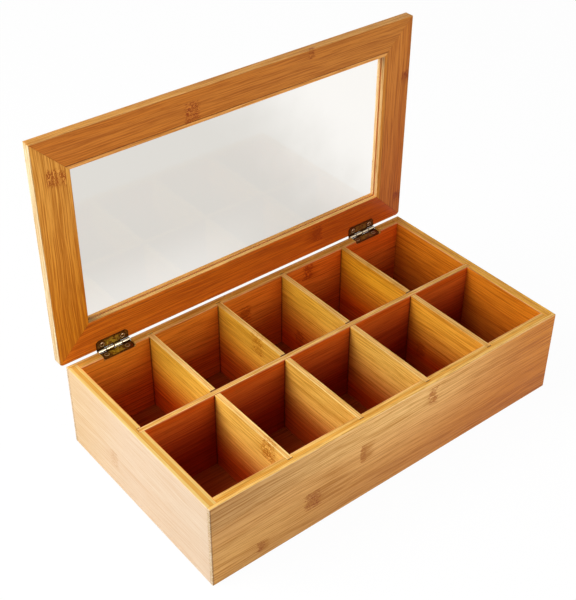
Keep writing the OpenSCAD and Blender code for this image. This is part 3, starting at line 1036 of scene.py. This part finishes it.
@dataclass
class LidFrame:
    """The four mitred members of the lid and the four beads around its window."""

    arris: float = 0.25
    ply: float = 3.4
    strip_width: float = 20.0
    pale_seam: float = -0.2
    # strength of the painted highlight on the members' arrises
    arris_highlight: float = 0.12
    outer: Colour = (0.66, 0.34, 0.12)
    edge: Tint = Tint((0.80, 0.46, 0.16))
    front_edge: Tint = Tint((0.65, 0.30, 0.05))
    # the left stile's pale cream outer edge: painted sheen of the key lamp
    sheen_left_edge: Tint = Tint((0.78, 0.64, 0.40))
    # the reveal edges that face the light are paler: painted light on the window's reveal
    painted_light_reveal: Tint = Tint((0.95, 0.68, 0.36))
    painted_light_low_reveal: Tint = Tint((0.86, 0.44, 0.12))
    front_face: Tint = Tint((0.61, 0.19, 0.014), (0.58, 0.205, 0.024))
    back_face: Tint = Tint((0.72, 0.18, 0.007), (0.52, 0.078, 0.002))
    left_face: Tint = Tint((0.68, 0.225, 0.006), (0.84, 0.39, 0.062))
    right_face: Tint = Tint((0.52, 0.12, 0.003), (0.62, 0.21, 0.022))
    front_culms: tuple[Culm, ...] = (
        Culm(-46.0, 260.0, 7.5, tail=-14.0, stain=0.25, side=Side.FACE_LOW),
        Culm(72.0, 275.0, 3.5, 4.5, tail=-30.0, strength=0.8, side=Side.FACE_LOW),
        Culm(38.0, 260.5, 6.0, 10.0, tail=12.0, side=Side.FACE_HIGH))
    back_culms: tuple[Culm, ...] = (
        Culm(82.0, 99.0, 6.0, 10.0, tail=-16.0, strength=0.7, side=Side.FACE_LOW),
        Culm(-60.0, 99.0, 6.0, 10.0, tail=14.0, side=Side.FACE_HIGH))
    left_culms: tuple[Culm, ...] = (
        Culm(246.0, -163.5, 8.0, 10.0, tail=-170.0, stain=0.6, side=Side.FACE_LOW),
        Culm(139.0, -164.0, 6.0, 10.0, tail=12.0, side=Side.FACE_HIGH))
    right_culms: tuple[Culm, ...] = (
        Culm(224.6, 179.0, 4.5, 4.5, tail=-10.0, strength=0.9, side=Side.FACE_LOW),
        Culm(101.7, 179.0, 4.5, 4.5, tail=-10.0, strength=0.9, side=Side.FACE_LOW),
        Culm(189.0, 164.0, 6.0, 10.0, tail=12.0, side=Side.FACE_HIGH))
    # the beads, each of one strip, with a dark joint line along its outer side, except the left bead, whose
    # dark line runs along its window side as painted shade of that edge
    bead_arris: float = 0.2
    bead_seed: float = 90.0
    bead_seed_step: float = 3.0
    bead_strip: float = 40.0
    far_seam: float = -500.0
    joint_reach: float = 0.7
    joint: Tint = Tint((0.26, 0.075, 0.008))
    front_bead: Tint = Tint((0.86, 0.40, 0.10))
    right_bead: Tint = Tint((0.66, 0.24, 0.02))
    # each bead's core, seen on its window side, is tinted by the way that side faces: painted light and shade
    painted_light_bead_cores: tuple[Colour, ...] = (
        (0.62, 0.22, 0.03), (1.0, 0.60, 0.20), (0.90, 0.70, 0.42), (0.95, 0.62, 0.27))

    def member(self, seed: float, seam: float, culms: tuple[Culm, ...], sides: dict[Side, Tint]) -> Bamboo:
        """The bamboo of a member, by its seed, the place of a glue line, its culms and its sides' tints."""
        return Bamboo(self.outer, seed, sides, culms=culms, strip_width=self.strip_width, strip_edge=seam,
                      ply=self.ply, seam_depth=self.pale_seam, arris_highlight=self.arris_highlight)

    def members(self) -> dict[str, tuple[Grain, Bamboo]]:
        """Sets out the finish of each rail and stile.

        Returns:
            The direction of the grain and the bamboo, by node.
        """
        face, low, high = Side.FACE_LOW, Side.EDGE_LOW, Side.EDGE_HIGH
        front = self.member(seed=61.0, seam=270.5, culms=self.front_culms,
                            sides={face: self.front_face, high: self.front_edge})
        back = self.member(seed=67.0, seam=89.0, culms=self.back_culms,
                           sides={face: self.back_face, low: self.edge, high: self.painted_light_low_reveal})
        left = self.member(seed=71.0, seam=-173.5, culms=self.left_culms,
                           sides={face: self.left_face, low: self.sheen_left_edge})
        right = self.member(seed=79.0, seam=174.0, culms=self.right_culms,
                            sides={face: self.right_face, high: self.edge, low: self.painted_light_reveal})
        return {"lid_front_rail": (Grain.ALONG_X, front), "lid_back_rail": (Grain.ALONG_X, back),
                "lid_left_stile": (Grain.UPRIGHT, left), "lid_right_stile": (Grain.UPRIGHT, right)}

    def beads(self) -> dict[str, tuple[Grain, Bamboo]]:
        """Sets out the finish of each bead.

        Returns:
            The direction of the grain and the bamboo, by node.
        """
        made = {}
        for place, (name, grain, face, outer) in enumerate((
                ("front", Grain.ALONG_X, self.front_bead, Side.EDGE_HIGH),
                ("back", Grain.ALONG_X, self.back_face, Side.EDGE_LOW),
                # on the left bead the dark line is on its window side: painted shade of that edge
                ("left", Grain.UPRIGHT, self.left_face, Side.EDGE_HIGH),
                ("right", Grain.UPRIGHT, self.right_bead, Side.EDGE_HIGH))):
            made["window_bead_" + name] = (grain, Bamboo(
                self.painted_light_bead_cores[place], self.bead_seed + self.bead_seed_step * place,
                {Side.FACE_LOW: face, outer: self.joint}, strip_width=self.bead_strip,
                strip_edge=self.far_seam, ply=self.bead_strip, strip_contrast=0.0, arris_highlight=0.0,
                side_reach=self.joint_reach))
        return made

    def build(self) -> list[bpy.types.Object]:
        """Makes the members and beads.

        Returns:
            The pieces.
        """
        made = []
        for arris, boards in ((self.arris, self.members()), (self.bead_arris, self.beads())):
            for node, (grain, finish) in boards.items():
                made.append(Joinery.board(node, grain, finish, arris, "lid", "lid_bamboo"))
        return made


@dataclass
class WindowPane:
    """The clear pane in the lid."""

    arris: float = 0.15
    finish: ClearPane = ClearPane()

    def build(self) -> list[bpy.types.Object]:
        """Makes the pane.

        Returns:
            The piece, in a list.
        """
        solid = Joinery.solid_of("window_pane")
        Joinery.soften(solid, self.arris, steps=1)
        return [Joinery.piece("clear_window_pane", solid, self.finish.material("clear_pane"), "lid", "window",
                              "window_pane")]


class HingeHand(Enum):
    """Which of the two hinges: the side of the box that it is near."""

    LEFT = -1
    RIGHT = 1


@dataclass
class ButtHinge:
    """A small butt hinge: two leaves rolled round a pin, and four screws."""

    hand: HingeHand
    inset: float = 45.0
    length: float = 30.0
    leaf_reach: float = 9.8
    leaf_thickness: float = 0.8
    clip: float = 2.0
    barrel: float = 1.5
    bore: float = 0.79
    seat: float = 1.8
    plate_start: float = 1.75
    bend_steps: int = 4
    free_edge: float = 1.25
    slot: float = 0.15
    knuckles: int = 4
    knuckle_gap: float = 0.25
    curl: float = math.radians(284.0)
    curl_steps: int = 22
    pin_radius: float = 0.75
    pin_overhang: float = 0.4
    pin_end: tuple[Span, ...] = ((0.0, 0.45), (0.21, 0.8), (0.7, 1.0))
    screw_spacing: float = 19.5
    screw_reach: float = 5.4
    screw_hole: float = 0.95
    screw_sink: float = 1.75
    round_points: int = 28
    arris: float = 0.09
    seed: float = 5.0
    # the right hinge's browner tints are partly patina and partly painted reflection of the wood around it
    patina_and_reflection: dict[HingeHand, tuple[Colour, Colour]] = field(default_factory=lambda: {
        HingeHand.LEFT: ((0.20, 0.085, 0.018), (0.56, 0.42, 0.06)),
        HingeHand.RIGHT: ((0.24, 0.085, 0.03), (0.40, 0.24, 0.06))})

    def axis(self) -> Vector:
        """Finds the middle of the pin at rest, on the axis of the frame's joint.

        Returns:
            Its place, in millimetres.
        """
        joint = frame["joints"][0]
        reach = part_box("left_wall")[0].x / MM
        x = self.hand.value * (abs(reach) - self.inset)
        return Vector((x, joint["pos_m"][1] / MM, joint["pos_m"][2] / MM))

    def knuckle_span(self, place: int) -> Span:
        """Finds the two ends of a knuckle along the pin.

        Args:
            place: which knuckle it is, counted from 0.

        Returns:
            The ends, in millimetres from the hinge's middle.
        """
        width = (self.length - (self.knuckles - 1) * self.knuckle_gap) / self.knuckles
        start = -self.length / 2 + place * (width + self.knuckle_gap)
        return start, start + width

    def rolled(self, x: float, y: float, share: float) -> Vector:
        """Where a point of the flat blank ends up when its tabs are rolled round the pin.

        Args:
            x: place along the pin.
            y: distance from the pin's axis on the flat blank; what lies past the axis is rolled.
            share: place in the sheet's thickness, 0 on the wood and 1 on the open side.

        Returns:
            The point, with the pin's axis along X through the origin.
        """
        if y >= self.plate_start:
            return Vector((x, y, -self.seat + self.leaf_thickness * share))
        radius = self.barrel + (self.bore - self.barrel) * share
        if y >= 0:
            bend = 1 - y / self.plate_start
            bend = bend * bend * (3 - 2 * bend)  # eased at both ends
            flat = -self.seat + self.leaf_thickness * share
            return Vector((x, y, flat + (-radius - flat) * bend))
        turn = -y / ((self.barrel + self.bore) / 2)
        return Vector((x, -radius * math.sin(turn), -radius * math.cos(turn)))

    def blank(self) -> tuple[bmesh.types.BMesh, dict[int, Vector]]:
        """Cuts the flat blank of a leaf.

        Returns:
            The flat mesh, in millimetres, and the centre of the screw hole that each of its rim points is on.
        """
        flat = bmesh.new()
        half = self.length / 2
        spans = [self.knuckle_span(place) for place in range(0, self.knuckles, 2)]
        outline = [(half, self.leaf_reach - self.clip), (half - self.clip, self.leaf_reach),
                   (self.clip - half, self.leaf_reach), (-half, self.leaf_reach - self.clip)]
        for (start, end), after in zip(spans, [span[0] - self.slot for span in spans[1:]] + [half]):
            outline += [(start, self.plate_start), (end, self.plate_start), (end + self.slot, self.free_edge),
                        (after, self.free_edge)]
        corners = [flat.verts.new((x, y, 0.0)) for x, y in outline]
        by_x = {x: corner for (x, y), corner in zip(outline, corners) if y == self.plate_start}
        edges = [flat.edges.new((a, b)) for a, b in zip(corners, corners[1:] + corners[:1])]
        rims: dict[int, Vector] = {}
        for side in (-1, 1):
            centre = Vector((side * self.screw_spacing / 2, self.screw_reach, 0.0))
            ring = []
            for step in range(self.round_points):
                turn = 2 * math.pi * step / self.round_points
                spoke = Vector((math.cos(turn), math.sin(turn), 0))
                ring.append(flat.verts.new(centre + self.screw_sink * spoke))
            edges += [flat.edges.new((a, b)) for a, b in zip(ring, ring[1:] + ring[:1])]
            flat.verts.index_update()
            rims.update({vert.index: centre for vert in ring})
        bmesh.ops.triangle_fill(flat, use_beauty=True, edges=edges)
        step = self.curl * (self.barrel + self.bore) / 2 / self.curl_steps
        rows = [self.plate_start * (1 - part / self.bend_steps) for part in range(1, self.bend_steps + 1)]
        rows += [-step * (part + 1) for part in range(self.curl_steps)]
        for start, end in spans:
            left, right = by_x[start], by_x[end]
            for y in rows:
                low, high = flat.verts.new((start, y, 0)), flat.verts.new((end, y, 0))
                flat.faces.new((left, right, high, low))
                left, right = low, high
        flat.verts.index_update()
        return flat, rims

    def leaf(self) -> bmesh.types.BMesh:
        """Makes a leaf: the blank, given its thickness, countersunk and rolled.

        Returns:
            The leaf with the pin's axis along X through the origin, in metres.
        """
        flat, rims = self.blank()
        solid = bmesh.new()
        skins: list[list[bmesh.types.BMVert]] = [[], []]
        for share, skin in enumerate(skins):
            for vert in flat.verts:
                spot = vert.co.copy()
                if vert.index in rims and share == 0:
                    centre = rims[vert.index]
                    spot = centre + (spot - centre) * (self.screw_hole / self.screw_sink)
                skin.append(solid.verts.new(self.rolled(spot.x, spot.y, share) * MM))
        for face in flat.faces:
            places = [vert.index for vert in face.verts]
            solid.faces.new([skins[1][place] for place in places])
            solid.faces.new([skins[0][place] for place in reversed(places)])
        for edge in flat.edges:
            if len(edge.link_faces) == 1:
                a, b = (vert.index for vert in edge.verts)
                solid.faces.new((skins[0][a], skins[0][b], skins[1][b], skins[1][a]))
        flat.free()
        bmesh.ops.recalc_face_normals(solid, faces=solid.faces)
        bmesh.ops.dissolve_limit(solid, angle_limit=Joinery.flat, verts=solid.verts, edges=solid.edges)
        Joinery.soften(solid, self.arris)
        return solid

    def pin(self) -> bmesh.types.BMesh:
        """Turns the pin with its rounded ends.

        Returns:
            The pin along X through the origin, in metres.
        """
        half = self.length / 2 + self.pin_overhang
        rings = [(self.pin_overhang * place - half, share) for place, share in self.pin_end]
        rings += [(-x, share) for x, share in reversed(rings)]
        solid = bmesh.new()
        loops = []
        for x, share in rings:
            turns = [2 * math.pi * step / self.round_points for step in range(self.round_points)]
            loops.append([solid.verts.new(Vector((x, self.pin_radius * share * math.cos(turn),
                                                  self.pin_radius * share * math.sin(turn))) * MM)
                          for turn in turns])
        for low, high in zip(loops, loops[1:]):
            for place in range(self.round_points):
                after = (place + 1) % self.round_points
                solid.faces.new((low[place], low[after], high[after], high[place]))
        solid.faces.new(loops[0])
        solid.faces.new(reversed(loops[-1]))
        bmesh.ops.recalc_face_normals(solid, faces=solid.faces)
        return solid

    def build(self) -> list[bpy.types.Object]:
        """Makes the hinge.

        Returns:
            The pieces.
        """
        prefix = f"hinge_{self.hand.name.lower()}_"
        middle = Matrix.Translation(self.axis() * MM)
        finish = AntiqueBrass(self.axis(), self.length / 2, self.leaf_reach,
                              self.knuckle_span(1)[0] - self.knuckle_span(0)[0],
                              (self.screw_spacing / 2, self.screw_reach), *self.patina_and_reflection[self.hand],
                              seed=self.seed + self.hand.value)
        leaf_finish = finish.material(prefix + "brass")
        screw_finish = finish.material(prefix + "screw_brass", is_screw=True)
        made = []
        for body, turn in (("box", Euler((0, 0, math.pi))), ("lid", Euler((math.pi / 2, 0, 0)))):
            solid = self.leaf()
            solid.transform(middle @ turn.to_matrix().to_4x4())
            node = f"{prefix}{body}_leaf"
            made.append(Joinery.piece(node + "_rolled", solid, leaf_finish, body, "hinge_leaves", node))
            node = f"{prefix}{body}_screws"
            solid = Joinery.solid_of(node)
            made.append(Joinery.piece(node + "_set", solid, screw_finish, body, "hinge_screws", node))
        solid = self.pin()
        solid.transform(middle)
        made.append(Joinery.piece(prefix + "turned_pin", solid, screw_finish, "box", "hinge_pins",
                                  prefix + "pin"))
        return made


@dataclass(frozen=True)
class SoftLamp:
    """A square soft lamp that shines at the box; level is what it gives a white surface that faces it."""

    name: str
    towards: Point
    distance: float
    width: float
    level: float

    def hang(self, target: Vector) -> bpy.types.Object:
        """Hangs the lamp.

        Args:
            target: the point that it shines at.

        Returns:
            The lamp.
        """
        data = bpy.data.lights.new(self.name, "AREA")
        data.shape = "SQUARE"
        data.size = self.width
        data.energy = math.pi ** 2 * self.distance ** 2 * self.level
        lamp = bpy.data.objects.new(self.name, data)
        direction = Vector(self.towards).normalized()
        lamp.location = target + direction * self.distance
        lamp.rotation_euler = direction.to_track_quat("Z", "Y").to_euler()
        bpy.context.scene.collection.objects.link(lamp)
        return lamp


@dataclass
class Studio:
    """The white floor, the soft light and the camera."""

    camera_place: Point = (-482.76, -558.49, 671.80)
    yaw: float = 0.6785155855
    pitch: float = 0.6422543762
    roll: float = 0.0069696889
    lens: float = 69.16
    sensor: float = 36.0
    target_height: float = 0.08
    floor_size: float = 6.0
    floor_cells: int = 8
    floor_drop: float = 0.02
    floor_white: float = 0.98
    floor_bounce: float = 0.80
    floor_lift: float = 0.97
    ambient: float = 0.15
    lamps: tuple[SoftLamp, ...] = (
        SoftLamp("key_lamp", (-0.74, 0.32, 0.62), distance=1.6, width=1.0, level=1.30),
        SoftLamp("front_fill", (0.10, -1.0, 0.24), distance=1.5, width=0.8, level=0.62))

    def camera(self) -> bpy.types.Object:
        """Sets the camera at the photograph's viewpoint.

        Returns:
            The camera.
        """
        ahead = Vector((math.sin(self.yaw) * math.cos(self.pitch), math.cos(self.yaw) * math.cos(self.pitch),
                        -math.sin(self.pitch)))
        level = Vector((math.cos(self.yaw), -math.sin(self.yaw), 0.0))
        above = level.cross(ahead)
        right = math.cos(self.roll) * level + math.sin(self.roll) * above
        upright = -math.sin(self.roll) * level + math.cos(self.roll) * above
        data = bpy.data.cameras.new("photo_camera")
        data.lens = self.lens
        data.sensor_width = self.sensor
        camera = bpy.data.objects.new("photo_camera", data)
        turn = Matrix((right, upright, -ahead)).transposed()
        camera.matrix_world = Matrix.Translation(Vector(self.camera_place) * MM) @ turn.to_4x4()
        bpy.context.scene.collection.objects.link(camera)
        bpy.context.scene.camera = camera
        return camera

    def seen_white(self, bench: Bench) -> Signal:
        """Tells the rays that show the background, straight or in gloss or glass, from those that light.

        Args:
            bench: the node tree that it is for.

        Returns:
            A signal that is 1 for the rays that show it.
        """
        rays = bench.raw("ShaderNodeLightPath")
        seen = Signal(bench, rays.outputs["Is Camera Ray"])
        for name in ("Is Glossy Ray", "Is Transmission Ray"):
            seen = seen.most(Signal(bench, rays.outputs[name]))
        return seen

    def floor(self) -> bpy.types.Object:
        """Lays the white floor under the box.

        Returns:
            The floor.
        """
        solid = bmesh.new()
        bmesh.ops.create_grid(solid, x_segments=self.floor_cells, y_segments=self.floor_cells,
                              size=self.floor_size / 2)
        mesh = bpy.data.meshes.new("studio_floor")
        solid.to_mesh(mesh)
        solid.free()
        floor = bpy.data.objects.new("studio_floor", mesh)
        floor.location.z = -self.floor_drop * MM
        bpy.context.scene.collection.objects.link(floor)
        material = bpy.data.materials.new("studio_white")
        bench = Bench(material)
        seen = self.seen_white(bench)
        matt = bench.node("ShaderNodeBsdfDiffuse", inputs={
            "Color": bench.mix(seen, (self.floor_bounce,) * 3, (self.floor_white,) * 3)})
        glow = bench.node("ShaderNodeEmission", inputs={"Color": WHITE, "Strength": 1.0})
        bench.finish(bench.node("ShaderNodeMixShader", inputs={0: seen * self.floor_lift, 1: matt, 2: glow}))
        mesh.materials.append(material)
        return floor

    def sky(self) -> None:
        """Makes the world white where it is seen and soft where it lights."""
        world = bpy.data.worlds.new("studio_world")
        bpy.context.scene.world = world
        bench = Bench(world)
        strength = self.seen_white(bench) * (1.0 - self.ambient) + self.ambient
        bench.finish(bench.node("ShaderNodeBackground", inputs={"Color": WHITE, "Strength": strength}))

    def build(self) -> None:
        """Sets the studio up around the box."""
        low, high = CAD_BOX
        target = (Vector(low) + Vector(high)) / 2
        target.z = self.target_height
        self.camera()
        self.floor()
        self.sky()
        for lamp in self.lamps:
            lamp.hang(target)
        bpy.context.scene.view_settings.view_transform = "Standard"


def main() -> None:
    """Builds the box's sub-assemblies in order and reports their pieces."""
    logging.basicConfig(level=logging.INFO, format="%(name)s: %(message)s")
    Studio().build()
    assemblies = (BoxCarcass(), DividerGrid(), LidFrame(), WindowPane(),
                  ButtHinge(HingeHand.LEFT), ButtHinge(HingeHand.RIGHT))
    for assembly in assemblies:
        for piece in assembly.build():
            LOG.info("%s: %s rides on %s with %d faces", type(assembly).__name__, piece.name,
                     piece["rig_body"], len(piece.data.polygons))


if __name__ == "__main__":
    main()
